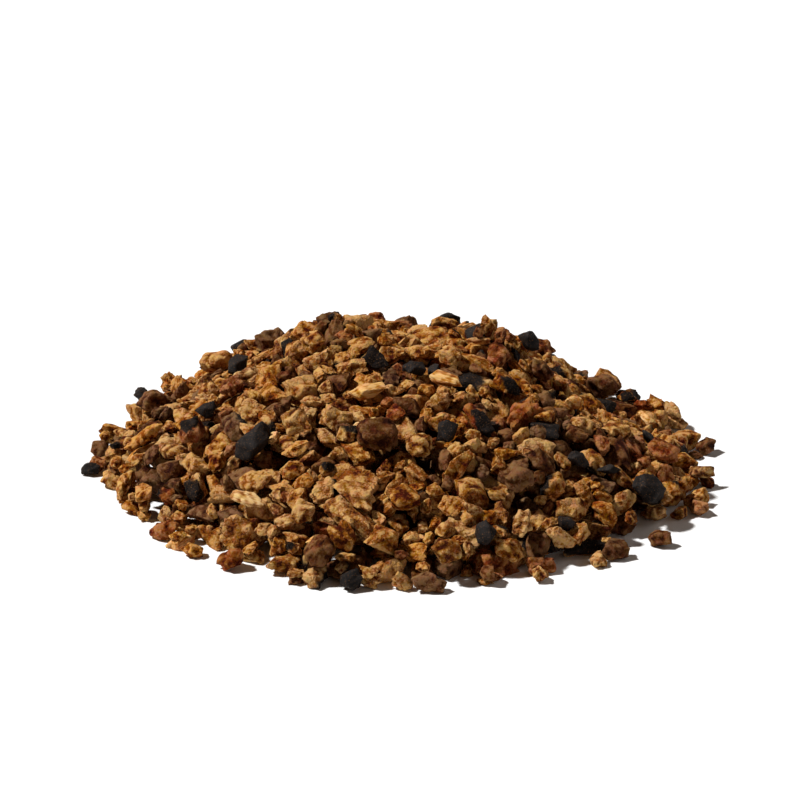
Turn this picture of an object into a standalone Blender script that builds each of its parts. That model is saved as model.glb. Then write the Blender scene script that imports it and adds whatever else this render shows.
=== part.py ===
"""A heap of coarsely ground chaga, poured out on a flat surface.

The heap itself is one solid: the mass of small granules, with a faceted lump for each granule
of its surface. The large granules that stand out are pieces of their own. They lie in pockets
of the heap, or on the ground at its edge.

+X runs to the right across the heap, -Y is its front, +Z is up. The origin is on the ground,
under the middle of everything.
"""

import math
import random

import bmesh
import bpy
import numpy as np
from mathutils import Matrix, Vector
from mathutils.geometry import delaunay_2d_cdt

MM = 0.001

# The heap: a dome over an oval, one granule thick at its edge
HEAP_WIDTH = 104 * MM
HEAP_DEPTH = 102.6 * MM
DOME_HEIGHT = 21.4 * MM
EDGE_HEIGHT = 2.3 * MM
# Gentle swells and dips of the dome, as the pour left them: x, y, radius, height
SWELLS = (
    (-11 * MM, 6 * MM, 8 * MM, 4.8 * MM),
    (5 * MM, 5 * MM, 5 * MM, -2.4 * MM),
    (18 * MM, 6 * MM, 7.5 * MM, 6.0 * MM),
    (34 * MM, 7 * MM, 13 * MM, -5.4 * MM),
    (-23 * MM, 8 * MM, 7 * MM, -2.6 * MM),
    (-34 * MM, 9 * MM, 11 * MM, -2.4 * MM),
    (-20 * MM, -24 * MM, 13 * MM, 0.8 * MM),
    (22 * MM, -26 * MM, 10 * MM, 0.7 * MM),
    (0 * MM, 30 * MM, 22 * MM, -1.0 * MM),
    (31 * MM, 27 * MM, 13 * MM, -2.4 * MM),
    (-31 * MM, 25 * MM, 13 * MM, -2.0 * MM),
)
# The oval's edge wanders by these shares of its radius: waves round the heap, share, phase
EDGE_WAVES = (
    (1, 0.018, 2.1),
    (2, 0.018, 3.1),
    (3, 0.006, 0.6),
    (5, 0.009, 3.5),
    (8, 0.008, 4.0),
)

# The surface lumps
LUMP_PITCH = 5.7 * MM
LUMP_JITTER = 0.42
LUMP_RISE = (-0.7 * MM, 1.1 * MM)
LUMP_TILT = 0.45
CREST_SHARE = (0.55, 0.88)
CREST_LEAST = 1.3 * MM
GROOVE_DEPTH = (1.2 * MM, 1.7 * MM)
GROOVE_LEAST = 0.8 * MM
# The outermost lumps reach out to these shares of the way to the edge, with notches between
RIM_TIP = (0.99, 1.035)
RIM_NOTCH = (0.925, 0.96)
# A lump with a plot over this area has a peak that rises out of its crest
PEAKED_AREA = 23 * MM * MM
PEAK_RISE = (0.2 * MM, 0.9 * MM)

# The large granules
CORNERS = 12
CORNER_DEPTH = (0.80, 1.0)
CORNER_SHIFT = 0.06
CORNER_TURN = 0.25
GRANULE_TILT = 0.25
SUNK_SHARE = 0.18
# A granule of the slope that would be this near to the ground lies on it
GROUND_REACH = 2.4 * MM
POCKET_GAP = 0.45 * MM
SIGHT_LINE = math.radians(22.5)
# From one granule of the sides and back to the next, the length turns on by this
TURN_ON = math.radians(67)

SEED = 11

# Colour, roughness and a granule's thickness as a share of its width
KINDS = {
    "amber_granule": ((0.42, 0.21, 0.065), 0.85, 0.80),
    "rust_granule": ((0.30, 0.115, 0.045), 0.80, 0.80),
    "umber_granule": ((0.13, 0.065, 0.032), 0.75, 0.82),
    "crust_chunk": ((0.022, 0.018, 0.017), 0.60, 0.80),
    "pale_chip": ((0.72, 0.50, 0.25), 0.80, 0.70),
}
HEAP_COLOUR = (0.27, 0.14, 0.055)

# The granules of the front, as they are seen along the sight line: kind, then in millimetres
# the distance right of the heap's middle and up from the middle of its base, length and
# width, and in degrees the turn of the length from level, towards up on the right
FRONT_GRANULES = (
    ("pale_chip", -4.7, 12.3, 7.8, 3.7, 28),
    ("pale_chip", 8.3, 14.2, 7.6, 3.5, -34),
    ("pale_chip", 29.6, 10.4, 4.8, 3.8, 70),
    ("pale_chip", 42.4, 7.7, 5.2, 2.8, -62),
    ("pale_chip", -24.2, -5.4, 7.2, 3.0, -40),
    ("crust_chunk", -23.2, 3.7, 9.0, 5.2, 36),
    ("crust_chunk", 8.2, 5.6, 5.2, 4.2, 75),
    ("crust_chunk", 3.0, 16.0, 4.6, 3.2, 8),
    ("crust_chunk", 41.2, -4.0, 6.6, 6.0, 20),
    ("crust_chunk", -31.2, 9.0, 4.4, 3.6, -30),
    ("crust_chunk", 14.4, -11.0, 4.8, 4.0, 80),
    ("crust_chunk", 29.8, 1.0, 4.6, 3.0, 12),
    ("crust_chunk", -7.2, -16.6, 4.8, 4.0, 25),
    ("umber_granule", -2.9, 4.9, 8.2, 7.2, 15),
    ("umber_granule", 19.6, -2.2, 6.6, 5.8, -20),
    ("umber_granule", -12.2, -13.6, 6.6, 5.2, 40),
    ("umber_granule", 24.0, 15.6, 4.8, 4.2, -15),
    ("umber_granule", 35.6, -12.4, 5.8, 4.2, 32),
    ("umber_granule", 5.4, -18.8, 7.0, 3.6, -8),
    ("rust_granule", -33.6, 5.4, 6.8, 5.2, 84),
    ("rust_granule", 13.6, 7.2, 8.8, 3.6, -50),
    ("rust_granule", 44.2, 2.0, 6.2, 5.0, -12),
    ("rust_granule", -38.0, -8.4, 6.2, 4.0, -24),
    ("rust_granule", -26.8, -14.4, 5.2, 4.6, 52),
    ("amber_granule", -16.7, 6.9, 5.8, 4.8, 78),
    ("amber_granule", 3.9, 3.2, 5.2, 5.0, 35),
    ("amber_granule", -16.8, -0.6, 4.8, 3.9, 8),
    ("amber_granule", 1.4, -5.2, 6.6, 5.2, -16),
    ("amber_granule", 20.2, -9.4, 6.6, 4.0, 82),
    ("amber_granule", 8.0, -13.6, 5.8, 5.0, -35),
    ("amber_granule", -15.0, -7.4, 5.4, 4.6, 18),
    ("amber_granule", -41.8, 4.6, 8.0, 3.2, 14),
    ("amber_granule", -13.6, 24.2, 5.4, 4.6, 30),
)

# The granules of the sides and the back, which the same rule goes round with: kind, then
# from the middle the bearing in degrees from +X, the share of the way to the edge, and in
# millimetres length and width
BACK_GRANULES = (
    ("amber_granule", 4, 0.62, 6.6, 5.0),
    ("crust_chunk", 17, 0.44, 5.6, 4.6),
    ("umber_granule", 28, 0.76, 7.4, 5.4),
    ("pale_chip", 41, 0.57, 7.2, 3.4),
    ("rust_granule", 55, 0.84, 6.2, 5.2),
    ("amber_granule", 66, 0.40, 6.0, 5.0),
    ("crust_chunk", 76, 0.68, 8.2, 5.4),
    ("amber_granule", 92, 0.88, 6.8, 4.6),
    ("rust_granule", 98, 0.52, 7.4, 4.4),
    ("pale_chip", 112, 0.74, 6.4, 3.4),
    ("umber_granule", 130, 0.64, 6.0, 5.2),
    ("amber_granule", 137, 0.80, 7.0, 5.4),
    ("crust_chunk", 150, 0.60, 5.8, 4.4),
    ("umber_granule", 165, 0.82, 6.4, 5.0),
    ("amber_granule", 168, 0.50, 6.2, 4.4),
    ("rust_granule", 186, 0.54, 5.4, 4.4),
)

# The granules that lie on the ground at the edge: kind, bearing, share, length and width
EDGE_GRANULES = (
    ("crust_chunk", 184, 1.012, 3.8, 3.2),
    ("umber_granule", 175, 0.985, 4.6, 3.6),
    ("rust_granule", 338, 1.00, 4.4, 3.6),
    ("umber_granule", 322, 1.03, 4.8, 3.6),
    ("amber_granule", 229, 1.01, 4.0, 3.4),
    ("amber_granule", 296, 1.00, 3.8, 3.2),
    ("umber_granule", 6, 1.012, 4.4, 3.4),
    ("rust_granule", 62, 1.02, 4.4, 3.4),
    ("crust_chunk", 146, 1.02, 3.8, 3.0),
)


def clear_scene():
    """Removes every object that is in the scene."""
    for old in list(bpy.data.objects):
        bpy.data.objects.remove(old)


def edge_share(bearing):
    """How far the edge lies out on a bearing, as a share of the oval's radius there."""
    return 1 + sum(share * math.sin(waves * bearing + phase) for waves, share, phase in EDGE_WAVES)


def way_out(x, y):
    """The share of the way from the middle of the heap to its edge: 0 to 1 inside."""
    return math.hypot(2 * x / HEAP_WIDTH, 2 * y / HEAP_DEPTH) / edge_share(math.atan2(y, x))


def dome(x, y):
    """The height of the mean surface: a paraboloid on the edge layer, with the swells."""
    inside = max(0.0, 1 - way_out(x, y) ** 2)
    height = EDGE_HEIGHT + (DOME_HEIGHT - EDGE_HEIGHT) * inside
    for at_x, at_y, radius, rise in SWELLS:
        away = math.hypot(x - at_x, y - at_y) / radius
        height += rise * math.exp(-away * away)
    return height


def slope(x, y):
    """The dome's rise to +X and to +Y, over a short step."""
    step = MM / 2
    rise_x = (dome(x + step, y) - dome(x - step, y)) / (2 * step)
    rise_y = (dome(x, y + step) - dome(x, y - step)) / (2 * step)
    return rise_x, rise_y


def lump_middles(rng):
    """Middles of the surface lumps on a jittered triangular lattice, and of a belt outside."""
    row_pitch = LUMP_PITCH * math.sqrt(3) / 2
    reach = 0.5 * max(HEAP_WIDTH, HEAP_DEPTH) + 3 * LUMP_PITCH
    rows = math.ceil(reach / row_pitch)
    places = math.ceil(reach / LUMP_PITCH)
    last_inside = 1 - LUMP_PITCH / HEAP_WIDTH
    inside, outside = [], []
    for row in range(-rows, rows + 1):
        for place in range(-places, places + 1):
            x = (place + 0.5 * (row % 2)) * LUMP_PITCH
            y = row * row_pitch
            x += rng.uniform(-1, 1) * LUMP_JITTER * LUMP_PITCH
            y += rng.uniform(-1, 1) * LUMP_JITTER * LUMP_PITCH
            side = inside if way_out(x, y) < last_inside else outside
            side.append((x, y))
    return inside, outside


def middle_of_circle(a, b, c):
    """The point equally far from three points of the plane."""
    ab, ac = b - a, c - a
    twice_area = 2 * (ab.x * ac.y - ab.y * ac.x)
    x = (ac.y * ab.length_squared - ab.y * ac.length_squared) / twice_area
    y = (ab.x * ac.length_squared - ac.x * ab.length_squared) / twice_area
    return a + Vector((x, y))


def held(corner, belt):
    """A corner brought into a belt along the heap's edge, from one share of the way out to
    another."""
    out = way_out(*corner)
    nearest, farthest = belt
    return corner * (min(max(out, nearest), farthest) / out)


def lump_plots(inside, outside):
    """Each inside lump's middle with the corners of its plot, the ground nearer to it than
    to any other lump. The corners are shared, so they are given by number."""
    points = [Vector(p) for p in inside + outside]
    points, _, triangles, sources, _, _ = delaunay_2d_cdt(points, [], [], 0, 1e-9)
    corners = []
    around = {}
    for number, triangle in enumerate(triangles):
        corner = middle_of_circle(*(points[i] for i in triangle))
        lumps = [sources[i][0] for i in triangle]
        lumps_outside = sum(lump >= len(inside) for lump in lumps)
        if lumps_outside == 1:
            corner = held(corner, RIM_NOTCH)
        elif lumps_outside == 2:
            corner = held(corner, RIM_TIP)
        corners.append(corner)
        for lump in lumps:
            around.setdefault(lump, []).append(number)
    plots = []
    for i, middle in enumerate(inside):
        middle = Vector(middle)
        ring = sorted(around[i], key=lambda n: math.atan2(*reversed(corners[n] - middle)))
        plots.append((middle, ring))
    return corners, plots


def plot_area(ring):
    """The area of a polygon, given its corners in order."""
    after = ring[1:] + ring[:1]
    return 0.5 * abs(sum(a.x * b.y - a.y * b.x for a, b in zip(ring, after)))


def add_lump(bm, rng, middle, corners, grooves):
    """One granule of the surface: a tilted crest, flat or with a peak, with sides that run
    down into the grooves round it."""
    rise_x, rise_y = slope(*middle)
    rise_x += rng.uniform(-LUMP_TILT, LUMP_TILT)
    rise_y += rng.uniform(-LUMP_TILT, LUMP_TILT)
    top = dome(*middle) + rng.uniform(*LUMP_RISE)
    crest = []
    for corner in corners:
        at = middle.lerp(corner, rng.uniform(*CREST_SHARE))
        height = top + rise_x * (at.x - middle.x) + rise_y * (at.y - middle.y)
        crest.append(bm.verts.new((at.x, at.y, max(height, CREST_LEAST))))
    count = len(corners)
    for i in range(count):
        j = (i + 1) % count
        bm.faces.new((grooves[i], grooves[j], crest[j], crest[i]))
    if plot_area(corners) < PEAKED_AREA:
        bm.faces.new(crest)
        return
    peak = bm.verts.new((middle.x, middle.y, top + rng.uniform(*PEAK_RISE)))
    for i in range(count):
        bm.faces.new((crest[i], crest[(i + 1) % count], peak))


def heap_mesh(rng):
    """The closed solid of the heap: the lumps side by side, upright at the edge, flat below."""
    corners, plots = lump_plots(*lump_middles(rng))
    bm = bmesh.new()
    groove = {}
    for _, ring in plots:
        for number in ring:
            if number not in groove:
                x, y = corners[number]
                height = dome(x, y) - rng.uniform(*GROOVE_DEPTH)
                groove[number] = bm.verts.new((x, y, max(height, GROOVE_LEAST)))
    for middle, ring in plots:
        add_lump(bm, rng, middle, [corners[n] for n in ring], [groove[n] for n in ring])
    rim = [edge for edge in bm.edges if edge.is_boundary]
    walls = bmesh.ops.extrude_edge_only(bm, edges=rim)["geom"]
    foot = [part for part in walls if isinstance(part, bmesh.types.BMVert)]
    for vert in foot:
        vert.co.z = 0
    foot_edges = [part for part in walls if isinstance(part, bmesh.types.BMEdge)]
    bmesh.ops.contextual_create(bm, geom=foot_edges)
    bmesh.ops.recalc_face_normals(bm, faces=bm.faces)
    bmesh.ops.triangulate(bm, faces=bm.faces)
    return bm


def granule_corners(rng, length, width, thickness):
    """Corners of an angular granule about its middle: even directions on a spiral, each
    pushed out to the rounded box of its size, some less than others."""
    corners = []
    turn = rng.uniform(0, 2 * math.pi)
    for i in range(CORNERS):
        up = 1 - 2 * (i + 0.5) / CORNERS + rng.uniform(-CORNER_SHIFT, CORNER_SHIFT)
        across = math.sqrt(max(0.0, 1 - up * up))
        turn += math.pi * (3 - math.sqrt(5)) + rng.uniform(-CORNER_TURN, CORNER_TURN)
        way = Vector((across * math.cos(turn), across * math.sin(turn), up))
        boxed = sum(abs(part) ** 3 for part in way) ** (-1 / 3)
        way *= boxed * rng.uniform(*CORNER_DEPTH)
        half = Vector((length, width, thickness)) / 2
        corners.append(Vector(a * b for a, b in zip(way, half)))
    return corners


def hull_mesh(name, corners):
    """The convex solid that the corners span."""
    bm = bmesh.new()
    verts = [bm.verts.new(corner) for corner in corners]
    hull = bmesh.ops.convex_hull(bm, input=verts)
    unused = set(hull["geom_interior"]) | set(hull["geom_unused"])
    inner = [part for part in unused if isinstance(part, bmesh.types.BMVert)]
    bmesh.ops.delete(bm, geom=inner, context="VERTS")
    bmesh.ops.recalc_face_normals(bm, faces=bm.faces)
    mesh = bpy.data.meshes.new(name)
    bm.to_mesh(mesh)
    bm.free()
    return mesh


def material(name, colour, roughness):
    """A matt finish of one colour."""
    made = bpy.data.materials.new(name)
    made.use_nodes = True
    shader = made.node_tree.nodes["Principled BSDF"]
    shader.inputs["Base Color"].default_value = (*colour, 1)
    shader.inputs["Roughness"].default_value = roughness
    shader.inputs["Metallic"].default_value = 0
    made.diffuse_color = (*colour, 1)
    return made


def add_object(name, mesh, finish):
    """The piece of this name, in the scene."""
    made = bpy.data.objects.new(name, mesh)
    made.data.materials.append(finish)
    bpy.context.scene.collection.objects.link(made)
    return made


def on_slope(across, up):
    """The place on the dome that is seen at a place of the picture, this far right of and
    above the middle of the heap's base, along the sight line."""
    front = -0.5 * HEAP_DEPTH
    step = MM / 4
    for i in range(round(HEAP_DEPTH / step)):
        y = front + i * step
        seen_up = dome(across, y) * math.cos(SIGHT_LINE) + y * math.sin(SIGHT_LINE)
        if seen_up >= up and way_out(across, y) < 1:
            return across, y
    return across, 0.0


def lie_of(x, y):
    """A frame on the dome: X level to the right, Y up the slope seen from the front, Z out."""
    rise_x, rise_y = slope(x, y)
    out = Vector((-rise_x, -rise_y, 1)).normalized()
    right = Vector((1, 0, rise_x)).normalized()
    up_slope = out.cross(right).normalized()
    return Matrix((right, up_slope, out)).transposed()


def granule_places():
    """Each large granule: kind, middle of its place, its frame, length and width."""
    places = []
    for kind, across, up, length, width, turn in FRONT_GRANULES:
        x, y = on_slope(across * MM, up * MM)
        frame = lie_of(x, y) @ Matrix.Rotation(math.radians(turn), 3, "Z")
        places.append((kind, Vector((x, y, dome(x, y))), frame, length * MM, width * MM))
    for rows, on_ground in ((BACK_GRANULES, False), (EDGE_GRANULES, True)):
        for number, (kind, bearing, share, length, width) in enumerate(rows):
            angle = math.radians(bearing)
            radius = share * edge_share(angle)
            x = 0.5 * HEAP_WIDTH * radius * math.cos(angle)
            y = 0.5 * HEAP_DEPTH * radius * math.sin(angle)
            frame = Matrix.Identity(3) if on_ground else lie_of(x, y)
            frame = frame @ Matrix.Rotation(TURN_ON * number + angle, 3, "Z")
            height = 0.0 if on_ground else dome(x, y)
            places.append((kind, Vector((x, y, height)), frame, length * MM, width * MM))
    return places


def add_granules(rng):
    """The large granules as objects, and for each the corners of the pocket it lies in."""
    finishes = {kind: material(kind, look[0], look[1]) for kind, look in KINDS.items()}
    count = dict.fromkeys(KINDS, 0)
    made, pockets = [], []
    for kind, place, frame, length, width in granule_places():
        count[kind] += 1
        name = f"{kind}_{count[kind]:02d}"
        thickness = KINDS[kind][2] * width
        tilt = Matrix.Rotation(rng.uniform(-GRANULE_TILT, GRANULE_TILT), 3, "X")
        tilt = tilt @ Matrix.Rotation(rng.uniform(-GRANULE_TILT, GRANULE_TILT), 3, "Y")
        corners = granule_corners(rng, length, width, thickness)
        turned = [frame @ tilt @ corner for corner in corners]
        middle = place + frame.col[2] * (0.5 - SUNK_SHARE) * 0.5 * thickness
        lowest = middle.z + min(corner.z for corner in turned)
        if place.z == 0 or lowest < GROUND_REACH:
            middle.z -= lowest
        granule = add_object(name, hull_mesh(name, turned), finishes[kind])
        granule.location = middle
        made.append(granule)
        pockets.append([middle + c + c.normalized() * POCKET_GAP for c in turned])
    return made, pockets


def add_heap(rng, pockets):
    """The heap with a pocket cut for each large granule, and any crumb that a cut leaves
    loose taken away."""
    bm = heap_mesh(rng)
    mesh = bpy.data.meshes.new("heap")
    bm.to_mesh(mesh)
    bm.free()
    heap = add_object("heap", mesh, material("heap", HEAP_COLOUR, 0.9))
    cutters = bpy.data.collections.new("pockets")
    bpy.context.scene.collection.children.link(cutters)
    for number, corners in enumerate(pockets):
        name = f"pocket_{number:02d}"
        cutter = bpy.data.objects.new(name, hull_mesh(name, corners))
        cutter.hide_render = True
        cutter.display_type = "WIRE"
        cutters.objects.link(cutter)
    cut = heap.modifiers.new("pockets", "BOOLEAN")
    cut.operation = "DIFFERENCE"
    cut.operand_type = "COLLECTION"
    cut.collection = cutters
    cut.solver = "EXACT"
    graph = bpy.context.evaluated_depsgraph_get()
    carved = bpy.data.meshes.new_from_object(heap.evaluated_get(graph))
    heap.modifiers.clear()
    heap.data = carved
    keep_largest(carved)
    for cutter in list(cutters.objects):
        bpy.data.objects.remove(cutter)
    bpy.data.collections.remove(cutters)
    return heap


def keep_largest(mesh):
    """Deletes every loose part of a mesh but the one with the most faces."""
    bm = bmesh.new()
    bm.from_mesh(mesh)
    left = set(bm.faces)
    parts = []
    while left:
        part, front = set(), [left.pop()]
        while front:
            face = front.pop()
            part.add(face)
            for edge in face.edges:
                for other in edge.link_faces:
                    if other in left:
                        left.remove(other)
                        front.append(other)
        parts.append(part)
    parts.sort(key=len)
    for part in parts[:-1]:
        bmesh.ops.delete(bm, geom=list(part), context="FACES")
    bm.to_mesh(mesh)
    bm.free()


def centre(objects):
    """Moves everything so that the origin is at the middle of its box, on the ground."""
    points = []
    for made in objects:
        mesh = np.array([tuple(v.co) for v in made.data.vertices])
        points.append(mesh + np.array(made.location))
    points = np.concatenate(points)
    middle = (points.min(axis=0) + points.max(axis=0)) / 2
    for made in objects:
        made.location.x -= middle[0]
        made.location.y -= middle[1]


def main():
    clear_scene()
    rng = random.Random(SEED)
    granules, pockets = add_granules(rng)
    heap = add_heap(rng, pockets)
    centre([heap, *granules])


main()
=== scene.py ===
"""The looks of a heap of coarsely ground chaga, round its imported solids.

The heap is granules all through, as the real one is: each is a closed mesh with a shape of its
own, dropped where it comes to rest, until they fill the solid of the heap. The large granules
that are solids of their own keep their form and place, and get a rough surface.
Lengths are in metres, with MM for a millimetre.
"""

import math

import bpy
import numpy as np
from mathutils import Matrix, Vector
from mathutils.bvhtree import BVHTree
from numpy.lib.stride_tricks import sliding_window_view


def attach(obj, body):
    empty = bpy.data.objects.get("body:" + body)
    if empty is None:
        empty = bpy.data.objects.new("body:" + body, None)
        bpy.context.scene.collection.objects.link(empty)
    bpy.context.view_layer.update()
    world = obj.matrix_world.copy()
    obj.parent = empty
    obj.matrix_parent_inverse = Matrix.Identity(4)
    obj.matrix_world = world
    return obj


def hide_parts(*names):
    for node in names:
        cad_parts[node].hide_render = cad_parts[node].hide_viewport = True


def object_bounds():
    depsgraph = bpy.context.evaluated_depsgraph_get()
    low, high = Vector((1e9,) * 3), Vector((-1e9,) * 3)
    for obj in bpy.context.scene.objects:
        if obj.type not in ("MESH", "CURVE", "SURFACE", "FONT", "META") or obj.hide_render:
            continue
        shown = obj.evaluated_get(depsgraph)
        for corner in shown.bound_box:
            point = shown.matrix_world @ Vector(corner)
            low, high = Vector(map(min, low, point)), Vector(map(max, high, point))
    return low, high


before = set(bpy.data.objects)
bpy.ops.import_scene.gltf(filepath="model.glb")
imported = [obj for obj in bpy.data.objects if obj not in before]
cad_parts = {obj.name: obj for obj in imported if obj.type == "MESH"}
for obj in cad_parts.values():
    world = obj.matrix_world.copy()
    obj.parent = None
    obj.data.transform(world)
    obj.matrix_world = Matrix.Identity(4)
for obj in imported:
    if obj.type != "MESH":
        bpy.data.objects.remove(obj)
cad_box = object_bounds()

MM = 0.001
SEED = 21

# The grid of heights on which the granules come to rest: the side of a cell, the cells that
# lie round the heap, and the height that stands for no heap
CELL = 0.5 * MM
MARGIN = 14
NO_HEAP = -1.0

# Granules may reach the surface of the heap's solid, once the grooves between its lumps are
# closed over this many cells, its edge is spread by this many, and its rim is this high
CLOSED_OVER = 3
SPREAD = 3
RIM_HEIGHT = 3.4 * MM
# A granule may rise over that surface by this share of its thickness, and over the highest
# point of the solids by this much
RISE_SHARE = 0.5
RISE_MOST = 0.5 * MM

# Where the floor shows between the granules along the rim: the size of the gaps, and the
# level of the noise over which there is one. Where more than this share of a belt of cells
# is heap, the level goes up at this rate
GAP_SIZE = 2.5 * MM
GAP_LEVEL = 0.35
GAP_BELT = 11
GAP_DEPTH = 0.65
GAP_FADE = 1.6

# How a granule is let down: how many turns are tried, how far it tilts on the heap's slope and
# on the floor, how many cells it may shift, and how far it sinks into what it rests on
TURNS_TRIED = 4
TILT = 0.35
TILT_ON_FLOOR = 0.06
SHIFT = 2
SINK = 0.22 * MM
# How much a clearance under a granule counts against a place, beside the height of its rest
NESTING = 0.25
# The rim is where less than this share of the belt is heap. There, a granule that has more
# than this share of its ground on the bare floor lies no higher over it than this, and none
# has a greater mean clearance than this
RIM_DEPTH = 0.97
BARE_SHARE = 0.22
OFF_FLOOR_MOST = 0.3 * MM
CLEARANCE_MOST = 1.4 * MM
# A large granule that reaches down to this height lies on the floor, and what lies there is
# pressed flat by this much
ON_FLOOR = 0.3 * MM
PRESSED = 0.12 * MM
# What lies under a large granule may reach this far into it, what lies within this many cells
# round it doesn't rise over the surface, and what comes later may cover it by this much
UNDER_NODES = 0.4 * MM
ROUND_NODES = 4
OVER_NODES = 0.35 * MM
# How far round its middle a granule's cells are looked at, in halves of its length: one that
# is being let down, and one in its place
DROP_REACH = 1.25
SHADOW_REACH = 1.8
# A plane that leans less than this is taken as leaning by this much
LEAST_LEAN = 1e-4

# The rounds of filling: least room under the surface, shortest and longest granule, and how
# many misses in a row end the round. The last rounds come once the large granules lie there
ROUNDS = (
    (2.7 * MM, 4.4 * MM, 8.6 * MM, 300),
    (2.4 * MM, 4.0 * MM, 7.0 * MM, 300),
)
LAST_ROUNDS = (
    (2.4 * MM, 3.8 * MM, 6.2 * MM, 200),
    (3.0 * MM, 2.4 * MM, 4.0 * MM, 200),
)
# At each step the lowest of some open cells are filled
CELLS_LOOKED_AT = 60
CELLS_FILLED = 15
# The cells on each side of a cell over which the slope of the heap is smoothed
SLOPE_REACH = 5
# The lengths follow a beta curve with these powers. A length is at most this many times the
# room under the surface, and none is over the last one
LENGTH_CURVE = (1.8, 2.2)
LENGTH_PER_ROOM = 2.6
LONGEST = 7.8 * MM

# Of each kind: its share of the small granules, the ranges of width and thickness as shares of
# the length, how sharp the edges are, how deep the swells, crumbs and bites are as shares of
# the radius, the mean and the spread of how light it is, and the material slot
KINDS = {
    "amber": {
        "share": 0.69, "width": (0.50, 0.98), "thickness": (0.36, 0.76), "sharpness": 45,
        "swell": 0.07, "crumb": 0.15, "bite": 0.36, "tone": (0.50, 0.12), "slot": "amber_flesh",
    },
    "rust": {
        "share": 0.08, "width": (0.48, 0.95), "thickness": (0.36, 0.72), "sharpness": 45,
        "swell": 0.06, "crumb": 0.12, "bite": 0.32, "tone": (0.50, 0.12), "slot": "rust_flesh",
    },
    "umber": {
        "share": 0.20, "width": (0.55, 0.98), "thickness": (0.40, 0.80), "sharpness": 45,
        "swell": 0.06, "crumb": 0.10, "bite": 0.28, "tone": (0.50, 0.13), "slot": "umber_flesh",
    },
    "crust": {
        "share": 0.018, "width": (0.50, 0.95), "thickness": (0.34, 0.70), "sharpness": 45,
        "swell": 0.05, "crumb": 0.07, "bite": 0.26, "tone": (0.50, 0.18), "slot": "black_crust",
    },
    "pale": {
        "share": 0.012, "width": (0.38, 0.60), "thickness": (0.30, 0.48), "sharpness": 24,
        "swell": 0.05, "crumb": 0.05, "bite": 0.16, "tone": (0.60, 0.12), "slot": "pale_wood",
    },
}
NODE_KINDS = {
    "amber_granule": "amber",
    "rust_granule": "rust",
    "umber_granule": "umber",
    "crust_chunk": "crust",
    "pale_chip": "pale",
}

# An angular chunk: how many corners are broken off, how skewed its planes are, and how far
# from the middle its sides and its breaks lie
CORNERS_BROKEN = 6
SKEW = 0.26
SIDE_DEPTHS = (0.72, 1.0)
BREAK_DEPTHS = (0.70, 1.12)
# Which of its planes a small granule rests on: the lower of the two across its thickness
FOOT = 2
# A granule whose width and thickness shares have this product is as long as it is asked to be.
# Narrower and flatter ones are longer, with the same volume
EVEN_PRODUCT = 0.45

# Granules fill this share of their place, so that gaps stay between them
LOOSENESS = 0.99
# The bites out of a granule: how many, the range of their widths in radians, the range of
# their depths as shares of its kind's, the power of their bowls, and the deepest in all
BITES = 3
BITE_WIDTHS = (0.40, 0.85)
BITE_DEPTHS = (0.1, 1.0)
BITE_CURVE = 1.5
DEEPEST_BITE = 0.5
# How many swells there are across a granule, and how strong its crumbs are, as a range
SWELL_PACE = 2.0
CRUMB_RANGE = (0.35, 1.15)
# The facets of its surface: how many waves make them, how many of each there are across a
# granule, the range that both this pace and a wave's start are varied by, and their height
FACET_WAVES = 3
FACET_PACE = 2.5
FACET_RANGE = (0.8, 1.3)
FACET_HEIGHT = 1.3
# The layers of crumbs: how many there are across a granule, and their height. Each is this
# many times the folded noise, less its middle
CRUMB_LAYERS = ((3.1, 0.45), (6.3, 0.4))
FOLD_GAIN = 2.6
FOLD_MIDDLE = 0.55
# What the materials are told from the height of the knobs: painted light on the knobs and painted
# shade in the creases
PAINTED_SHADE_MIDDLE = 0.5
PAINTED_SHADE_GAIN = 0.35
# The mean and the spread of the tints
TINT = (0.5, 0.22)
# The share of the granules with rind on one side, where on that side it starts and is full,
# and how far and how finely noise bends its edge, by the millimetre
RIND_SHARE = 0.12
RIND_EDGE = (0.35, 0.5)
RIND_BEND = 0.2
RIND_PACE = 1.5
# How far apart the granules lie in the grain of the flesh
GRAIN_APART = 3
# The least that a plane counts for each way, also where it faces away
LEAST_NEARNESS = 1e-3

# Cells along a side of the cube that a granule's grid is drawn on, for granules up to each
# length, the last for all that are longer, and for the large granules
CELLS_BY_LENGTH = ((3.0 * MM, 5), (4.0 * MM, 6), (5.4 * MM, 8), (1.0, 10))
NODE_CELLS = 14
# Away from the rim, a granule is buried where no more than this share of it lies less deep
# under the surface than this
BURIED_CELLS = 3
BURIED_UNDER = 2.5 * MM
SHARE_SEEN = 0.10
# The most that one piece holds, and how steep an edge is that is shaded sharp
MOST_TRIANGLES = 150000
SHARP_ANGLE = math.radians(32)

# The values that smooth noise is mixed from
LATTICE_SEED = 5
LATTICE_SIZE = 32
LATTICE = np.random.default_rng(LATTICE_SEED).uniform(-1, 1, (LATTICE_SIZE,) * 3)

# The dark, middle and light colour of each flesh
FLESHES = {
    "amber": ((0.047, 0.0080, 0.0004), (0.210, 0.077, 0.0102), (0.48, 0.268, 0.094)),
    "rust": ((0.038, 0.0060, 0.0004), (0.140, 0.0425, 0.0085), (0.31, 0.140, 0.054)),
    "umber": ((0.020, 0.0042, 0.0004), (0.073, 0.0262, 0.0058), (0.168, 0.084, 0.034)),
    "pale": ((0.20, 0.066, 0.010), (0.42, 0.200, 0.052), (0.66, 0.415, 0.165)),
}
CRUST_BLACK = (0.0038, 0.0022, 0.0017, 1)
CRUST_GREY = (0.0155, 0.0115, 0.0102, 1)
CRUST_DUST = (0.18, 0.080, 0.025, 1)
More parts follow.
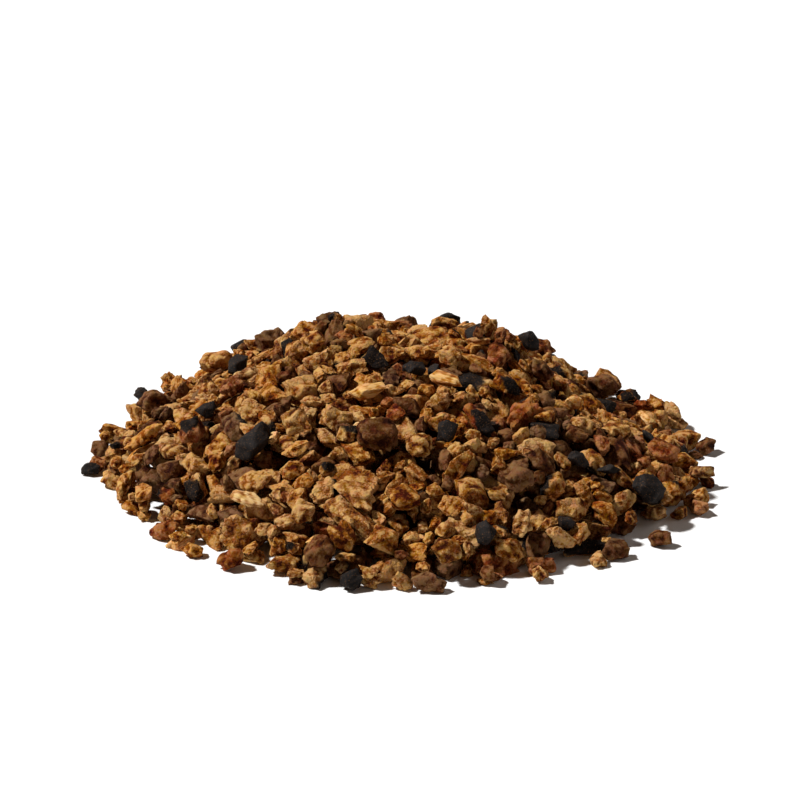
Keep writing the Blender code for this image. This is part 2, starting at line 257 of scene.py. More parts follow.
# How rough each kind is, how deep its texture is, and its specular level
SURFACES = {
    "amber": (0.92, 0.16 * MM, 0.09),
    "rust": (0.90, 0.14 * MM, 0.09),
    "umber": (0.86, 0.11 * MM, 0.09),
    "crust": (0.72, 0.12 * MM, 0.16),
    "pale": (0.85, 0.12 * MM, 0.09),
}
BUMP_STRENGTH = 0.8
# The flesh's lightness turns from dark to middle and from middle to light over these ranges
TO_MIDDLE = (-0.45, 0.02)
TO_LIGHT = (-0.02, 0.55)
# The hue and the saturation before any tint, where 0.5 and 1 leave a colour as it is
EVEN_HUE = 0.4935
EVEN_SATURATION = 1.03
# The pale wood's grain runs along the granule: its pace along, across and through
WOOD_GRAIN = (0.22, 1.5, 1.5)

# The lamps: the way towards each, how many degrees wide it is, and its strength
LAMPS = {
    "key": ((-0.58, 0.06, 0.77), 5, 5.05),
    "front_fill": ((0.5, -0.8, 0.4), 35, 0.14),
    "side_fill": ((0.9, 0.3, 0.5), 35, 0.36),
}
AMBIENT_COLOUR = (1, 0.62, 0.40, 1)
AMBIENT_STRENGTH = 0.052
FLOOR_HALF = 2.0
FLOOR_COLOUR = (0.86, 0.86, 0.85, 1)
FLOOR_ROUGHNESS = 0.8

# The photo's line of sight, and how wide a view takes in the heap
SIGHT_ELEVATION = math.radians(22.5)
SIGHT_DISTANCE = 1.1
VIEW_WIDTH = 0.134


def noise(points):
    """Smooth noise from -1 to 1: the values at the corners of the unit cell round a point,
    mixed by the smooth step of its place in the cell."""
    cell = np.floor(points).astype(int)
    part = points - cell
    part = part * part * (3 - 2 * part)
    total = 0
    for corner in np.ndindex(2, 2, 2):
        share = np.prod(np.where(corner, part, 1 - part), axis=-1)
        i, j, k = np.moveaxis((cell + corner) % LATTICE_SIZE, -1, 0)
        total = total + share * LATTICE[i, j, k]
    return total


def unit(vectors):
    """These vectors, brought to a length of one."""
    return vectors / np.linalg.norm(vectors, axis=-1, keepdims=True)


def smooth_step(value, start, end):
    """How far a value is from the start to the end, from 0 to 1, eased at both."""
    part = np.clip((value - start) / (end - start), 0, 1)
    return part * part * (3 - 2 * part)


def ball_grid(cells):
    """Directions and four-sided faces of a ball. Each side of a cube is a grid whose two
    parameters are the angles across that side, and its points are drawn to the unit ball.
    Points that sides share are one."""
    across = np.tan(np.linspace(-np.pi / 4, np.pi / 4, cells + 1))
    first, second = np.meshgrid(across, across, indexing="ij")
    sides = []
    for axis in range(3):
        for sign in (-1.0, 1.0):
            side = np.empty((cells + 1, cells + 1, 3))
            side[..., axis] = sign
            side[..., (axis + 1) % 3] = first * sign
            side[..., (axis + 2) % 3] = second
            sides.append(side)
    points = unit(np.stack(sides))
    directions, number = np.unique(points.reshape(-1, 3).round(6), axis=0, return_inverse=True)
    number = number.reshape(points.shape[:3])
    corners = (number[:, :-1, :-1], number[:, 1:, :-1], number[:, 1:, 1:], number[:, :-1, 1:])
    return directions, np.stack(corners, axis=-1).reshape(-1, 4)


def triangles_of(cells):
    """The triangles of one granule: two for each cell of a cube's six sides."""
    return 2 * 6 * cells * cells


# The ways from the middle of a box to its sides and to its corners
BOX_WAYS = np.array([np.subtract(way, 1) for way in np.ndindex(3, 3, 3)], float)
BOX_SIDES = BOX_WAYS[np.abs(BOX_WAYS).sum(axis=1) == 1]
BOX_CORNERS = unit(BOX_WAYS[np.abs(BOX_WAYS).sum(axis=1) == 3])


def broken_chunk(rng):
    """The planes of an angular chunk: the six of a box, skewed, and six that break off its
    corners. Each plane has a normal and its distance from the middle."""
    broken = BOX_CORNERS[rng.permutation(len(BOX_CORNERS))[:CORNERS_BROKEN]]
    normals = np.concatenate((BOX_SIDES, broken))
    normals = unit(normals + rng.normal(0, SKEW, normals.shape))
    sides = rng.uniform(*SIDE_DEPTHS, len(BOX_SIDES))
    breaks = rng.uniform(*BREAK_DEPTHS, CORNERS_BROKEN)
    return normals, np.concatenate((sides, breaks))


def new_granule(rng, length):
    """A granule of a random kind and shape."""
    kind = rng.choice(list(KINDS), p=[traits["share"] for traits in KINDS.values()])
    traits = KINDS[kind]
    normals, depths = broken_chunk(rng)
    shares = np.array((1.0, rng.uniform(*traits["width"]), rng.uniform(*traits["thickness"])))
    half = 0.5 * length * shares / np.cbrt(shares.prod() / EVEN_PRODUCT)
    half *= min(1, LONGEST / (2 * half[0]))
    return {"kind": kind, "length": length, "half": half, "normals": normals, "depths": depths}


def node_points(node):
    """The places of a node's vertices, and the vertices of each of its triangles."""
    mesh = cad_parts[node].data
    points = np.empty(len(mesh.vertices) * 3, np.float32)
    mesh.vertices.foreach_get("co", points)
    mesh.calc_loop_triangles()
    corners = np.empty(len(mesh.loop_triangles) * 3, np.int32)
    mesh.loop_triangles.foreach_get("vertices", corners)
    return points.reshape(-1, 3).astype(float), corners.reshape(-1, 3)


def node_granule(node):
    """A large granule, from its solid: the planes of its faces, about its middle and along
    its own axes, the longest first."""
    points, corners = node_points(node)
    middle = (points.min(axis=0) + points.max(axis=0)) / 2
    a, b, c = np.moveaxis(points[corners] - middle, 1, 0)
    normals = unit(np.cross(b - a, c - a))
    axes = np.linalg.svd(points - middle, full_matrices=False)[2].T
    axes[:, 2] = np.cross(axes[:, 0], axes[:, 1])
    half = np.abs((points - middle) @ axes).max(axis=0)
    return {
        "kind": NODE_KINDS[node.rsplit("_", 1)[0]],
        "length": 2 * half[0],
        "half": half,
        "normals": (normals @ axes) * half,
        "depths": (a * normals).sum(axis=1),
        "rotation": axes,
        "place": middle,
        "on_floor": points[:, 2].min() < ON_FLOOR,
    }


def turned(rng, count, foot, lean, tilt):
    """Rotations that lay a granule with its foot, the normal of one of its faces, against a
    slope: tilted a little, and with a free turn about the slope's normal."""
    spin = rng.uniform(0, 2 * np.pi, count)
    out = unit(lean + rng.normal(0, tilt, (count, 3)))
    side = np.stack((np.cos(spin), np.sin(spin), np.zeros(count)), axis=-1)
    first = unit(side - (side * out).sum(axis=-1, keepdims=True) * out)
    slope_axes = np.stack((first, np.cross(out, first), out), axis=-1)
    side = unit(np.array((1.0, 0.0, 0.0)) - foot[0] * foot)
    own_axes = np.stack((side, np.cross(-foot, side), -foot), axis=-1)
    return slope_axes @ own_axes.T


def shadow_heights(normals, depths, x, y):
    """The lower and upper height of a convex chunk over each place: the highest of its lower
    planes and the lowest of its upper planes. It is there where the upper is over the lower."""
    lean = normals[..., 2, None, None]
    lean = np.where(np.abs(lean) < LEAST_LEAN, LEAST_LEAN, lean)
    run = normals[..., 0, None, None] * x + normals[..., 1, None, None] * y
    at = (depths[..., None, None] - run) / lean
    upper = np.where(lean > 0, at, np.inf).min(axis=-3)
    lower = np.where(lean < 0, at, -np.inf).max(axis=-3)
    return lower, upper


def over_square(field, reach, measure):
    """A measure of a field, such as its highest value, over a square round each cell."""
    padded = np.pad(field, reach, mode="edge")
    return measure(sliding_window_view(padded, (2 * reach + 1,) * 2), axis=(-2, -1))


class Ground:
    """The grid of heights that granules come to rest on, and of how high they may reach."""

    def __init__(self, low, high):
        self.low = np.array(low[:2]) - MARGIN * CELL
        self.highest = high[2] + RISE_MOST
        size = np.ceil((np.array(high[:2]) - self.low) / CELL).astype(int) + MARGIN
        self.x, self.y = (self.low[axis] + (np.arange(size[axis]) + 0.5) * CELL for axis in (0, 1))
        self.height = np.zeros(size)
        self.limit = np.full(size, NO_HEAP)
        self.may_rise = np.ones(size, bool)

    def cell_of(self, place):
        """The cell that a place lies over."""
        return tuple(((place[:2] - self.low) / CELL).astype(int))

    def square(self, i, j, reach):
        """The cells of a square round one cell."""
        return slice(i - reach, i + reach + 1), slice(j - reach, j + reach + 1)

    def holds(self, i, j, reach):
        """Whether such a square lies within the grid."""
        return reach <= i < len(self.x) - reach and reach <= j < len(self.y) - reach

    def set_limit(self, node):
        """Granules may reach the upper side of this node, with the grooves between its lumps
        closed, and no lower than one layer along its edge, where gaps are left."""
        points, corners = node_points(node)
        tree = BVHTree.FromPolygons(points.tolist(), corners.tolist())
        sky, down = 1.0, Vector((0, 0, -1))
        hits = [tree.ray_cast(Vector((x, y, sky)), down)[0] for x in self.x for y in self.y]
        heights = [NO_HEAP if hit is None else hit.z for hit in hits]
        surface = np.array(heights).reshape(self.height.shape)
        surface = over_square(surface, CLOSED_OVER, np.max)
        surface = over_square(surface, CLOSED_OVER, np.min)
        inside = over_square(surface, SPREAD, np.max) > 0
        depth = over_square(inside.astype(float), GAP_BELT, np.mean)
        x, y = np.meshgrid(self.x, self.y, indexing="ij")
        patches = noise(np.stack((x, y, np.zeros_like(x)), axis=-1) / GAP_SIZE)
        gaps = patches > GAP_LEVEL + GAP_FADE * np.maximum(depth - GAP_DEPTH, 0)
        self.limit = np.where(inside & ~gaps, np.maximum(surface, RIM_HEIGHT), NO_HEAP)
        self.at_rim = depth < RIM_DEPTH

    def shadow(self, granule):
        """The cells round a placed granule, where in them it is, and its lower and upper
        height there."""
        reach = math.ceil(SHADOW_REACH * granule["half"].max() / CELL)
        here = self.square(*self.cell_of(granule["place"]), reach)
        x, y = np.meshgrid(self.x[here[0]], self.y[here[1]], indexing="ij")
        normals = (granule["normals"] / granule["half"]) @ granule["rotation"].T
        place = granule["place"]
        lower, upper = shadow_heights(normals, granule["depths"], x - place[0], y - place[1])
        return here, upper > lower, lower + place[2], upper + place[2]

    def keep_clear(self, granule):
        """What lies under this granule may only just touch it, and what lies round it stays
        low enough for it to be seen."""
        here, there, lower, _ = self.shadow(granule)
        limit = np.minimum(self.limit[here], lower + UNDER_NODES)
        self.limit[here] = np.where(there, limit, self.limit[here])
        self.may_rise[here] &= ~over_square(there, ROUND_NODES, np.max)

    def lay(self, granule):
        """This granule now lies in its place, and little may cover it."""
        here, there, _, upper = self.shadow(granule)
        self.height[here] = np.where(there, np.maximum(self.height[here], upper), self.height[here])
        self.limit[here] = np.where(there, upper + OVER_NODES, self.limit[here])

    def drop(self, granule, i, j, lean, rng):
        """Lets a granule down near a cell. Of a few turns and of every place within a short
        way it takes the lowest and closest rest, along the rim one at which it doesn't hover.
        Returns whether it found one and stays under the limit there."""
        reach = math.ceil(DROP_REACH * granule["half"].max() / CELL)
        if not self.holds(i, j, reach + SHIFT):
            return False
        foot = unit(granule["normals"][FOOT] / granule["half"])
        on_slope = self.height[i, j] > 0
        lean, tilt = (lean, TILT) if on_slope else (np.array((0.0, 0.0, 1.0)), TILT_ON_FLOOR)
        rotations = turned(rng, TURNS_TRIED, foot, lean, tilt)
        normals = np.einsum("mij,pj->mpi", rotations, granule["normals"] / granule["half"])
        steps = np.arange(-reach, reach + 1) * CELL
        x, y = np.meshgrid(steps, steps, indexing="ij")
        lower, upper = shadow_heights(normals, granule["depths"], x, y)
        there = upper > lower
        windows = sliding_window_view(self.height[self.square(i, j, reach + SHIFT)], x.shape)
        gap = np.where(there[:, None, None], windows - lower[:, None, None], -np.inf)
        on_floor = -np.where(there, lower, np.inf).min(axis=(-2, -1))
        rest = np.maximum(gap.max(axis=(-2, -1)) - SINK, on_floor[:, None, None])
        covered = there.sum(axis=(-2, -1))[:, None, None]
        clearance = rest - np.where(there[:, None, None], gap, 0).sum(axis=(-2, -1)) / covered
        bare = (there[:, None, None] & (windows == 0)).sum(axis=(-2, -1)) / covered
        hovers = (bare > BARE_SHARE) & (rest - on_floor[:, None, None] > OFF_FLOOR_MOST)
        hovers |= clearance > CLEARANCE_MOST
        fault = np.where(hovers & self.at_rim[i, j], np.inf, rest + NESTING * clearance)
        if fault.min() == np.inf:
            return False
        turn, shift_x, shift_y = np.unravel_index(fault.argmin(), fault.shape)
        middle = rest[turn, shift_x, shift_y]
        i, j = i + shift_x - SHIFT, j + shift_y - SHIFT
        here = self.square(i, j, reach)
        there, top = there[turn], middle + upper[turn]
        rise = RISE_SHARE * 2 * granule["half"][2] * self.may_rise[here]
        if (there & (top > np.minimum(self.limit[here] + rise, self.highest))).any():
            return False
        self.height[here] = np.where(there, np.maximum(self.height[here], top), self.height[here])
        granule["place"] = np.array((self.x[i], self.y[j], middle))
        granule["rotation"] = rotations[turn]
        granule["on_floor"] = middle - on_floor[turn] < OFF_FLOOR_MOST
        return True

    def fill(self, rounds, rng):
        """Drops granules from the floor up, round by round, while there is room under the
        surface."""
        smooth = over_square(np.maximum(self.limit, 0), SLOPE_REACH, np.mean)
        rise_x, rise_y = np.gradient(smooth, CELL)
        leans = unit(np.stack((-rise_x, -rise_y, np.ones_like(smooth)), axis=-1))
        placed = []
        for least_room, shortest, longest, misses_allowed in rounds:
            tried = np.zeros(self.height.shape, bool)
            misses = 0
            while misses < misses_allowed:
                open_cells = np.flatnonzero((self.limit - self.height > least_room) & ~tried)
                if len(open_cells) == 0:
                    break
                cells = rng.choice(open_cells, CELLS_LOOKED_AT)
                cells = cells[np.argsort(self.height.flat[cells])][:CELLS_FILLED]
                for i, j in zip(*np.unravel_index(cells, tried.shape)):
                    room = self.limit[i, j] - self.height[i, j]
                    if room <= least_room:
                        continue
                    length = shortest + (longest - shortest) * rng.beta(*LENGTH_CURVE)
                    granule = new_granule(rng, min(length, LENGTH_PER_ROOM * room))
                    if self.drop(granule, i, j, leans[i, j], rng):
                        placed.append(granule)
                        misses = 0
                    else:
                        tried[self.square(i, j, 1)] = True
                        misses += 1
        return placed

    def buries(self, granule):
        """Whether a granule lies under the finished surface, out of sight."""
        here, there, _, upper = self.shadow(granule)
        cover = (self.height[here] - upper)[there]
        return np.quantile(cover, SHARE_SEEN) > BURIED_UNDER and not self.at_rim[here].any()


def stacked(granules, key):
    """An array of each granule, all in one."""
    return np.stack([granule[key] for granule in granules])


def traits_of(granules, key):
    """A trait of each granule's kind, as a column."""
    return np.array([KINDS[granule["kind"]][key] for granule in granules])[:, None]


def bites(ways, rng, depth):
    """What is broken out of each granule, as shares of its radius. Each bite is a bowl about
    one direction, deepest there and gone at its width."""
    total = 0
    for _ in range(BITES):
        toward = unit(rng.normal(0, 1, (len(ways), 1, 3)))
        width = rng.uniform(*BITE_WIDTHS, (len(ways), 1))
        angle = np.arccos(np.clip((ways * toward).sum(axis=-1), -1, 1)) / width
        bowl = np.maximum(1 - angle ** 2, 0) ** BITE_CURVE
        total = total + rng.uniform(*BITE_DEPTHS, (len(ways), 1)) * depth * bowl
    return np.minimum(total, DEEPEST_BITE)


def facets(points, rng):
    """Flat facets with straight creases between them, from -1 to 1: the mean of triangle
    waves, each along a way of its own."""
    total = 0
    for _ in range(FACET_WAVES):
        way = unit(rng.normal(0, 1, (len(points), 1, 3)))
        pace, start = rng.uniform(*FACET_RANGE, (2, len(points), 1))
        along = (points * way).sum(axis=-1) * pace + start
        total = total + 4 * np.abs(along - np.round(along)) - 1
    return total / FACET_WAVES


def chunk_radius(ways, granules, rng):
    """How far each granule reaches each way, in halves of its size: the distance to the
    nearest of its planes, taken as the smooth minimum that a power sum gives, less the
    bites."""
    depths = stacked(granules, "depths")[:, None]
    nearness = np.einsum("vi,gpi->gvp", ways, stacked(granules, "normals")) / depths
    nearness = np.maximum(nearness, LEAST_NEARNESS)
    sharpness = traits_of(granules, "sharpness")
    radius = (nearness ** sharpness[..., None]).sum(axis=-1) ** (-1 / sharpness)
    all_ways = np.broadcast_to(ways, (len(granules), *ways.shape))
    return radius * (1 - bites(all_ways, rng, traits_of(granules, "bite")))


def relief_of(granules, part, offset, rng):
    """The relief of the granules, as shares of their radius, and its facets and crumbs alone.
    Crumbs are noise folded at nought, so that creases run between round knobs."""
    relief = traits_of(granules, "swell") * noise(part * SWELL_PACE + offset)
    crumb = traits_of(granules, "crumb") * rng.uniform(*CRUMB_RANGE, (len(granules), 1))
    knob_and_painted_shade = FACET_HEIGHT * facets(part * FACET_PACE, rng)
    for fineness, height in CRUMB_LAYERS:
        folded = np.abs(noise(part * fineness + offset * fineness))
        knob_and_painted_shade = knob_and_painted_shade + height * (FOLD_GAIN * folded - FOLD_MIDDLE)
    # The facets and crumbs alone also give the painted light on the knobs and the painted shade in
    # the creases
    return relief + crumb * knob_and_painted_shade, knob_and_painted_shade


def marks_of(granules, ways, local, knob_and_painted_shade, offset, rng):
    """What the materials read at each point: its place in the grain of the flesh, by the
    millimetre, how light its granule is, how much rind it has, how high it lies among the knobs
    and creases, which is painted as light on the knobs and shade in the creases, and its granule's
    tint."""
    count, each_point = len(granules), np.ones(len(ways))
    mean, spread = np.array([KINDS[granule["kind"]]["tone"] for granule in granules]).T[..., None]
    tone = np.clip(rng.normal(mean, spread), 0, 1) * each_point
    toward = unit(rng.normal(0, 1, (count, 1, 3)))
    has_rind = rng.random((count, 1)) < RIND_SHARE
    bend = RIND_BEND * noise(local / MM * RIND_PACE + offset)
    rind = has_rind * smooth_step((ways * toward).sum(axis=-1) + bend, *RIND_EDGE)
    tint = np.clip(rng.normal(*TINT, (count, 1)), 0, 1) * each_point
    # Painted light on the knobs and painted shade in the creases, from the height of the knobs
    knob_and_painted_shade = np.clip(PAINTED_SHADE_MIDDLE + PAINTED_SHADE_GAIN * knob_and_painted_shade, 0, 1)
    grain = local / MM + GRAIN_APART * offset
    return {"grain": grain, "tone": tone, "tint": tint, "rind": rind, "knob_and_painted_shade": knob_and_painted_shade}


def granule_surface(granules, cells, rng):
    """The points of some granules on one grid. Each way from the middle, a point lies at the
    radius of the granule's chunk times its relief, which is wide swells of smooth noise, flat
    facets and folded crumbs. It is then turned and brought to its place, and what lies on the
    floor is pressed flat there. Gives the points, the faces of one granule, and the
    attributes for the materials."""
    ways, faces = ball_grid(cells)
    half = stacked(granules, "half")[:, None]
    local = LOOSENESS * chunk_radius(ways, granules, rng)[..., None] * ways * half
    size = 2 * np.cbrt(half.prod(axis=-1, keepdims=True))
    offset = rng.uniform(0, LATTICE_SIZE, (len(granules), 1, 3))
    relief, knob_and_painted_shade = relief_of(granules, local / size, offset, rng)
    local = local * (1 + relief)[..., None]
    points = np.einsum("gij,gvj->gvi", stacked(granules, "rotation"), local)
    points += stacked(granules, "place")[:, None]
    sunk = np.maximum(points[..., 2].min(axis=1) + PRESSED, 0)
    points[..., 2] -= np.where(stacked(granules, "on_floor"), sunk, 0)[:, None]
    points[..., 2] = np.maximum(points[..., 2], 0)
    return points, faces, marks_of(granules, ways, local, knob_and_painted_shade, offset, rng)


def joined_mesh(name, points, faces, attributes):
    """One mesh of closed granules, from the points of each and the faces of one."""
    count, per_granule = points.shape[:2]
    corners = faces[None] + (np.arange(count) * per_granule)[:, None, None]
    mesh = bpy.data.meshes.new(name)
    mesh.vertices.add(count * per_granule)
    mesh.vertices.foreach_set("co", points.astype(np.float32).ravel())
    mesh.loops.add(corners.size)
    mesh.loops.foreach_set("vertex_index", corners.astype(np.int32).ravel())
    mesh.polygons.add(count * len(faces))
    mesh.polygons.foreach_set("loop_start", np.arange(count * len(faces), dtype=np.int32) * 4)
    mesh.update(calc_edges=True)
    for key, values in attributes.items():
        kind, field = ("FLOAT_VECTOR", "vector") if values.ndim == 3 else ("FLOAT", "value")
        made = mesh.attributes.new(key, kind, "POINT")
        made.data.foreach_set(field, values.astype(np.float32).ravel())
    mesh.shade_smooth()
    mesh.set_sharp_from_angle(angle=SHARP_ANGLE)
    return mesh


class Tree:
    """A node tree that is added to in short lines."""

    def __init__(self, tree):
        self.tree = tree

    def add(self, kind, inputs=None, **settings):
        """A node with its settings, and its inputs as numbers, colours or other sockets."""
        node = self.tree.nodes.new("ShaderNode" + kind)
        for key, value in settings.items():
            setattr(node, key, value)
        for key, value in (inputs or {}).items():
            if isinstance(value, bpy.types.NodeSocket):
                self.tree.links.new(value, node.inputs[key])
            else:
                node.inputs[key].default_value = value
        return node

    def math(self, operation, first, second=0.0):
        """The result of one operation on one or two values."""
        return self.add("Math", {0: first, 1: second}, operation=operation).outputs[0]

    def ramp(self, value, start, end, low=0.0, high=1.0):
        """A value brought from one range to another and held there."""
        inputs = {"Value": value, "From Min": start, "From Max": end, "To Min": low, "To Max": high}
        return self.add("MapRange", inputs, interpolation_type="SMOOTHSTEP").outputs[0]

    def weigh(self, parts):
        """The sum of some values, each taken from its middle of a half, times its weight."""
        total = -0.5 * sum(weight for _, weight in parts)
        for value, weight in parts:
            inputs = {0: value, 1: weight, 2: total}
            total = self.add("Math", inputs, operation="MULTIPLY_ADD").outputs[0]
        return total

    def noise(self, vector, scale, detail, output=0, **more):
        """A noise texture's value, or its colour, which is output 1."""
        inputs = {"Vector": vector, "Scale": scale, "Detail": detail, **more}
        return self.add("TexNoise", inputs).outputs[output]

    def mix(self, share, first, second):
        """One colour turned into another by a share. Sockets 6 and 7 take the colours."""
        return self.add("Mix", {0: share, 6: first, 7: second}, data_type="RGBA").outputs[2]


def new_group(name, inputs):
    """A shader node group that gives a colour and a height: the group, its tree, the sockets
    with what it is given, and a function that ends it with its results."""
    made = bpy.data.node_groups.new(name, "ShaderNodeTree")
    for socket, kind in inputs:
        made.interface.new_socket(socket, in_out="INPUT", socket_type="NodeSocket" + kind)
    for socket, kind in (("Color", "Color"), ("Height", "Float")):
        made.interface.new_socket(socket, in_out="OUTPUT", socket_type="NodeSocket" + kind)
    source, sink = made.nodes.new("NodeGroupInput"), made.nodes.new("NodeGroupOutput")

    def end(colour, height):
        made.links.new(colour, sink.inputs["Color"])
        made.links.new(height, sink.inputs["Height"])
        return made

    return Tree(made), source.outputs, end


def corky_flesh():
    """Dried fungus flesh: patches, packed crumbs of slightly different browns, and fine
    pores, from dark in the pores and painted shade in the creases to painted light on the knobs."""
    inputs = [("Grain", "Vector")]
    inputs += [(key, "Float") for key in ("Tone", "Tint", "Painted Light And Shade")]
    inputs += [(key, "Color") for key in ("Dark", "Middle", "Light")]
    tree, given, end = new_group("corky flesh", inputs)
    grain, tint = given["Grain"], given["Tint"]
    patches = tree.noise(grain, 0.55, 3.0)
    fine = tree.noise(grain, 3.0, 4.0, Roughness=0.65)
    flakes = tree.noise(grain, 1.1, 1.0, Distortion=0.6)
    crumbs = tree.add("TexVoronoi", {"Vector": grain, "Scale": 2.3})
    crumb_tone = tree.add("SeparateColor", {0: crumbs.outputs["Color"]}).outputs[0]
    # Thin dark lines run between flakes, in some of the patches
    ridge = tree.math("ABSOLUTE", tree.math("SUBTRACT", flakes, 0.5))
    ridge = tree.math("MAXIMUM", tree.ramp(ridge, 0.0, 0.07), tree.ramp(patches, 0.44, 0.56))
    lightness = tree.weigh((
        (patches, 0.9),
        (fine, 0.9),
        (crumb_tone, 0.25),
        (ridge, 0.3),
        (given["Tone"], 1.0),
        # The height of the knobs paints light on the knobs and shade in the creases
        (given["Painted Light And Shade"], 1.5),
    ))
    colour = tree.mix(tree.ramp(lightness, *TO_MIDDLE), given["Dark"], given["Middle"])
    colour = tree.mix(tree.ramp(lightness, *TO_LIGHT), colour, given["Light"])
    warmth = tree.weigh(((tint, 0.012), (patches, 0.040), (flakes, 0.040)))
    richness = tree.weigh(((tint, -0.16), (fine, -0.6)))
    shift = {
        "Color": colour,
        "Hue": tree.math("ADD", warmth, EVEN_HUE),
        "Saturation": tree.math("ADD", richness, EVEN_SATURATION),
    }
    colour = tree.add("HueSaturation", shift).outputs[0]
    height = tree.math("SUBTRACT", tree.math("MULTIPLY", fine, 1.2), crumbs.outputs["Distance"])
    height = tree.math("ADD", height, tree.math("MULTIPLY", ridge, 0.8))
    return end(colour, height)


def burnt_rind():
    """The black outer crust: charcoal with slate grey faces, fine cracks and a little brown
    dust."""
    tree, given, end = new_group("burnt rind", (("Grain", "Vector"), ("Tone", "Float")))
    grain = given["Grain"]
    patches = tree.noise(grain, 0.7, 4.0)
    bend = tree.noise(grain, 0.9, 2.0, output=1)
    bent = tree.add("VectorMath", {0: grain, 1: bend}, operation="ADD").outputs[0]
    edges = tree.add("TexVoronoi", {"Vector": bent, "Scale": 0.6}, feature="DISTANCE_TO_EDGE")
    cracks = tree.ramp(edges.outputs["Distance"], 0.0, 0.05, 0.0, 0.3)
    dust = tree.noise(grain, 4.5, 3.0, Roughness=0.7)
    shade = tree.math("ADD", patches, tree.math("MULTIPLY", given["Tone"], 0.5))
    colour = tree.mix(tree.ramp(shade, 0.55, 1.05), CRUST_BLACK, CRUST_GREY)
    colour = tree.mix(tree.ramp(dust, 0.58, 0.70), colour, CRUST_DUST)
    return end(colour, tree.math("ADD", dust, cracks))


def finish_of(kind, groups):
    """The material of one kind of granule."""
    made = bpy.data.materials.new(f"{kind} granule")
    made.use_nodes = True
    made.node_tree.nodes.clear()
    tree = Tree(made.node_tree)
    grain = tree.add("Attribute", attribute_name="grain").outputs["Vector"]
    # One of these attributes, from the height of the knobs, is painted light on the knobs and
    # painted shade in the creases
    tone, tint, knob_and_painted_shade, rind = (
        tree.add("Attribute", attribute_name=key).outputs["Fac"]
        for key in ("tone", "tint", "knob_and_painted_shade", "rind")
    )
    crust = tree.add("Group", {"Grain": grain, "Tone": tone}, node_tree=groups["rind"]).outputs
    colour, height = crust["Color"], crust["Height"]
    if kind in FLESHES:
        if kind == "pale":
            stretch = {0: grain, 1: WOOD_GRAIN}
            grain = tree.add("VectorMath", stretch, operation="MULTIPLY").outputs[0]
        dark, middle, light = ((*part, 1) for part in FLESHES[kind])
        inputs = {"Grain": grain, "Tone": tone, "Tint": tint, "Painted Light And Shade": knob_and_painted_shade}
        inputs.update({"Dark": dark, "Middle": middle, "Light": light})
        flesh = tree.add("Group", inputs, node_tree=groups["flesh"]).outputs
        colour, height = tree.mix(rind, flesh["Color"], crust["Color"]), flesh["Height"]
    roughness, deep, specular = SURFACES[kind]
    bump = tree.add("Bump", {"Height": height, "Strength": BUMP_STRENGTH, "Distance": deep})
    shader = tree.add("BsdfPrincipled", {"Base Color": colour, "Normal": bump.outputs[0]})
    shader.inputs["Roughness"].default_value = roughness
    shader.inputs["Specular IOR Level"].default_value = specular
    output = tree.add("OutputMaterial", {"Surface": shader.outputs[0]})
    output.is_active_output = True
    return made


def add_piece(name, granules, cells, finish, nodes, rng):
    """Some granules as one piece that stands for these nodes."""
    points, faces, attributes = granule_surface(granules, cells, rng)
    piece = bpy.data.objects.new(name, joined_mesh(name, points, faces, attributes))
    piece.data.materials.append(finish)
    bpy.context.scene.collection.objects.link(piece)
    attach(piece, "root")
    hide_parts(*nodes)


def cells_for(length):
    """How fine the grid is of a granule that is seen: coarser where it is short."""
    return next(cells for longest, cells in CELLS_BY_LENGTH if length < longest)


def add_granules(finishes, rng):
    """All granules: the large ones where their solids are, and the small ones round them,
    joined by kind and by how fine their grid is."""
    large = {name: node_granule(name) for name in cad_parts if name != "heap"}
    ground = Ground(*cad_box)
    ground.set_limit("heap")
    for granule in large.values():
        ground.keep_clear(granule)
    small = ground.fill(ROUNDS, rng)
    for granule in large.values():
        ground.lay(granule)
    small += ground.fill(LAST_ROUNDS, rng)
    batches = {}
    for granule in small:
        cells = BURIED_CELLS if ground.buries(granule) else cells_for(granule["length"])
        batches.setdefault((granule["kind"], cells), []).append(granule)
    for (kind, cells), granules in sorted(batches.items()):
        finish, slot = finishes[kind], KINDS[kind]["slot"]
        parts = math.ceil(len(granules) * triangles_of(cells) / MOST_TRIANGLES)
        for part in range(parts):
            name = f"{kind}_grains_{cells}_{part + 1}"
            add_piece(name, granules[part::parts], cells, finish, ["heap"], rng)
    for name, granule in large.items():
        finish, slot = finishes[granule["kind"]], KINDS[granule["kind"]]["slot"]
        add_piece(f"{name}_rough", [granule], NODE_CELLS, finish, [name], rng)


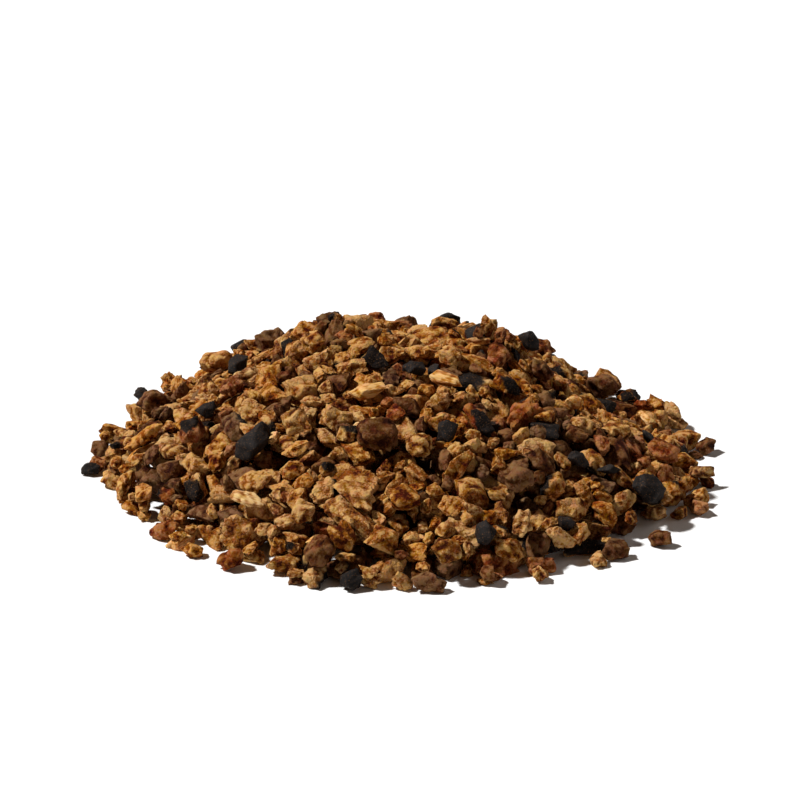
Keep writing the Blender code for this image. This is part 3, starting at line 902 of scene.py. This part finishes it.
def add_floor():
    """A plain pale floor."""
    mesh = bpy.data.meshes.new("floor")
    square = ((-1, -1), (1, -1), (1, 1), (-1, 1))
    corners = [(x * FLOOR_HALF, y * FLOOR_HALF, 0) for x, y in square]
    mesh.from_pydata(corners, [], [(0, 1, 2, 3)])
    floor = bpy.data.objects.new("floor", mesh)
    made = bpy.data.materials.new("floor")
    made.use_nodes = True
    shader = made.node_tree.nodes["Principled BSDF"]
    shader.inputs["Base Color"].default_value = FLOOR_COLOUR
    shader.inputs["Roughness"].default_value = FLOOR_ROUGHNESS
    mesh.materials.append(made)
    bpy.context.scene.collection.objects.link(floor)


def add_lights():
    """Even soft light from the upper left, a little from the front and the right, and a white
    backdrop that only the camera sees."""
    for name, (toward, degrees, strength) in LAMPS.items():
        lamp = bpy.data.lights.new(name, "SUN")
        lamp.angle, lamp.energy = math.radians(degrees), strength
        light = bpy.data.objects.new(name, lamp)
        light.rotation_euler = Vector(toward).to_track_quat("Z", "Y").to_euler()
        bpy.context.scene.collection.objects.link(light)
    world = bpy.data.worlds.new("studio")
    world.use_nodes = True
    world.node_tree.nodes.clear()
    tree = Tree(world.node_tree)
    ambient = tree.add("Background", {"Color": AMBIENT_COLOUR, "Strength": AMBIENT_STRENGTH})
    backdrop = tree.add("Background", {"Color": (1, 1, 1, 1), "Strength": 1.0})
    seen = tree.add("LightPath").outputs["Is Camera Ray"]
    both = tree.add("MixShader", {0: seen, 1: ambient.outputs[0], 2: backdrop.outputs[0]})
    tree.add("OutputWorld", {"Surface": both.outputs[0]})
    bpy.context.scene.world = world


def add_camera():
    """The camera at the photo's viewing angle, aimed at the middle of the heap."""
    low, high = cad_box
    aim = (low + high) / 2
    back = Vector((0, -math.cos(SIGHT_ELEVATION), math.sin(SIGHT_ELEVATION)))
    data = bpy.data.cameras.new("camera")
    data.lens = data.sensor_width * SIGHT_DISTANCE / VIEW_WIDTH
    camera = bpy.data.objects.new("camera", data)
    camera.location = aim + back * SIGHT_DISTANCE
    camera.rotation_euler = (-back).to_track_quat("-Z", "Y").to_euler()
    bpy.context.scene.collection.objects.link(camera)
    bpy.context.scene.camera = camera


def main():
    """Builds the scene round the frame."""
    rng = np.random.default_rng(SEED)
    add_camera()
    groups = {"flesh": corky_flesh(), "rind": burnt_rind()}
    finishes = {kind: finish_of(kind, groups) for kind in KINDS}
    add_granules(finishes, rng)
    add_floor()
    add_lights()
    bpy.context.scene.view_settings.view_transform = "Standard"


main()
